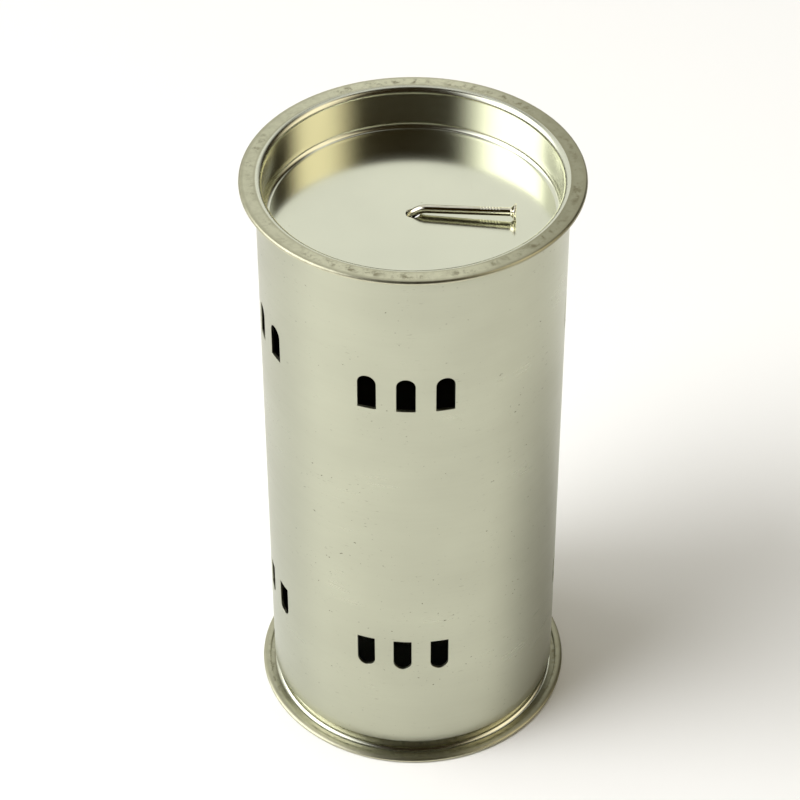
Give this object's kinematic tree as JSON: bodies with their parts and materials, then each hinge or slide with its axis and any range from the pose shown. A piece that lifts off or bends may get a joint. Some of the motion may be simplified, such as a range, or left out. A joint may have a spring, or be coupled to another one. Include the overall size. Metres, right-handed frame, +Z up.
{
  "type": "bee smoker fuel canister",
  "caption": "Stainless inner fuel canister for a bee smoker: vented sheet shell, a lift-out recessed end pan at each end, and a bent wire nail as the upper pan's pull.",
  "frame": {"origin": "centre of the resting face, on the canister's axis", "axes": "+Z up along the canister's axis; -Y is the side with the front group of vents; +X to the right of that side, the way the nail lies"},
  "size_m": [0.096, 0.096, 0.187],
  "materials": {
    "shell": "satin",
    "pan": "polished",
    "nail": "polished"
  },
  "bodies": {
    "foot": {"bottom_pan": "pan"},
    "tube": {"shell": "shell"},
    "lid": {"top_pan": "pan"},
    "pull": {"pull_nail": "nail"}
  },
  "joints": [
    {"name": "shell_lift", "type": "slide", "parent": "foot", "child": "tube", "axis": [0, 0, 1], "range_m": [0, 0.03]},
    {"name": "lid_lift", "type": "slide", "parent": "tube", "child": "lid", "axis": [0, 0, 1], "range_m": [0, 0.04]},
    {"name": "nail_swivel", "type": "hinge", "parent": "lid", "child": "pull", "pos_m": [0, 0, 0.1734], "axis": [0, 0, 1], "continuous": true}
  ]
}
